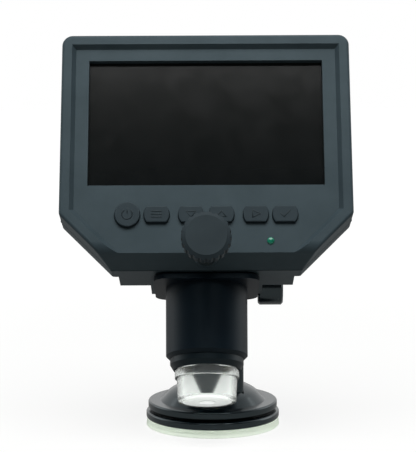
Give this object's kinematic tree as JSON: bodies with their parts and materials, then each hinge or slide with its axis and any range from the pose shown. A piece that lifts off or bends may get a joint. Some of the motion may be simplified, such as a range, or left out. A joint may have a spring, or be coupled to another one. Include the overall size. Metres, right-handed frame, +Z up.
{
  "type": "lcd digital microscope",
  "caption": "Handheld digital microscope with a flat screen, a row of buttons, a ribbed focus knob and a clear lens cap, leaning back on a suction foot.",
  "frame": {"origin": "middle of the suction pad's underside, on the table", "axes": "+Z up, -Y towards the user who looks at the screen, +X to the right of the screen"},
  "size_m": [0.12, 0.0973, 0.1683],
  "materials": {
    "case_plastic": "fine matt moulded texture",
    "ring_plastic": "satin",
    "button_plastic": "satin",
    "knob_plastic": "satin",
    "stand_plastic": "satin gloss",
    "clear_plastic": "clear polished",
    "pad_rubber": "milky translucent",
    "display_glass": "dark polished",
    "display": "dark",
    "circuit_board": "solder mask",
    "chips": "moulded",
    "lamp": "tinted clear",
    "lights": "phosphor in clear resin",
    "steel": "plated",
    "battery_wrap": "shrink sleeve",
    "guide_plastic": "matt",
    "brass": "turned",
    "lens_glass": "polished"
  },
  "bodies": {
    "stand": {"suction_pad": "pad_rubber", "pad_stem": "steel", "stem_nut": "steel", "foot": "stand_plastic", "arm": "stand_plastic", "arm_screws": "steel", "hinge_bolt": "steel", "hinge_nut": "steel", "hinge_washer": "steel"},
    "lock_ring": {"lock_ring": "stand_plastic"},
    "lock_knob": {"lock_knob": "knob_plastic"},
    "head": {"front_shell": "case_plastic", "rear_shell": "case_plastic", "screen_glass": "display_glass", "display_module": "display", "main_board": "circuit_board", "board_chips": "chips", "key_board": "circuit_board", "key_switches": "chips", "indicator_lamp": "lamp", "charging_socket": "steel", "card_socket": "steel", "battery_cell": "battery_wrap", "battery_contacts": "steel", "sensor_board": "circuit_board", "image_sensor": "chips", "lens_tube": "case_plastic", "lens_guide": "guide_plastic", "end_ring": "ring_plastic", "light_board": "circuit_board", "ring_lights": "lights", "clear_cap": "clear_plastic", "shaft_bush": "brass", "case_screws": "steel", "flange_screws": "steel", "hinge_bracket": "stand_plastic", "bracket_screws": "steel"},
    "battery_door": {"battery_door": "case_plastic"},
    "focus": {"focus_knob": "knob_plastic", "focus_shaft": "steel", "focus_pinion": "brass"},
    "lens": {"lens_carrier": "ring_plastic", "lens_nose": "ring_plastic", "objective_lenses": "lens_glass", "focus_rack": "brass"},
    "button_power": {"button_power": "button_plastic"},
    "button_menu": {"button_menu": "button_plastic"},
    "button_down": {"button_down": "button_plastic"},
    "button_up": {"button_up": "button_plastic"},
    "button_play": {"button_play": "button_plastic"},
    "button_ok": {"button_ok": "button_plastic"}
  },
  "joints": [
    {"name": "head_tilt", "type": "hinge", "parent": "stand", "child": "head", "pos_m": [0, 0.0067, 0.0592], "axis": [1, 0, 0], "range_deg": [-35, 1.5]},
    {"name": "lock_knob_turn", "type": "hinge", "parent": "stand", "child": "lock_knob", "pos_m": [0.0253, 0.0067, 0.0592], "axis": [1, 0, 0], "range_deg": [0, 180]},
    {"name": "lock_ring_turn", "type": "hinge", "parent": "stand", "child": "lock_ring", "pos_m": [0, 0, 0.0049], "axis": [0, 0, 1], "range_deg": [0, 60]},
    {"name": "door_slide", "type": "slide", "parent": "head", "child": "battery_door", "axis": [0, 0.3907, 0.9205], "range_m": [0, 0.008]},
    {"name": "focus_turn", "type": "hinge", "parent": "head", "child": "focus", "pos_m": [-0.0024, -0.05554, 0.0866], "axis": [0, -0.9205, 0.3907], "range_deg": [-20, 201]},
    {"name": "lens_slide", "type": "slide", "parent": "head", "child": "lens", "axis": [0, 0.3907, 0.9205], "range_m": [-0.001, 0.01]},
    {"name": "button_power_press", "type": "slide", "parent": "head", "child": "button_power", "axis": [0, 0.9205, -0.3907], "range_m": [0, 0.0005], "stiffness_N_per_m": 2000},
    {"name": "button_menu_press", "type": "slide", "parent": "head", "child": "button_menu", "axis": [0, 0.9205, -0.3907], "range_m": [0, 0.0005], "stiffness_N_per_m": 2000},
    {"name": "button_down_press", "type": "slide", "parent": "head", "child": "button_down", "axis": [0, 0.9205, -0.3907], "range_m": [0, 0.0005], "stiffness_N_per_m": 2000},
    {"name": "button_up_press", "type": "slide", "parent": "head", "child": "button_up", "axis": [0, 0.9205, -0.3907], "range_m": [0, 0.0005], "stiffness_N_per_m": 2000},
    {"name": "button_play_press", "type": "slide", "parent": "head", "child": "button_play", "axis": [0, 0.9205, -0.3907], "range_m": [0, 0.0005], "stiffness_N_per_m": 2000},
    {"name": "button_ok_press", "type": "slide", "parent": "head", "child": "button_ok", "axis": [0, 0.9205, -0.3907], "range_m": [0, 0.0005], "stiffness_N_per_m": 2000}
  ],
  "couplings": [
    {"joint": "lens_slide", "follows": "focus_turn", "m_per_rad": 0.00285}
  ]
}
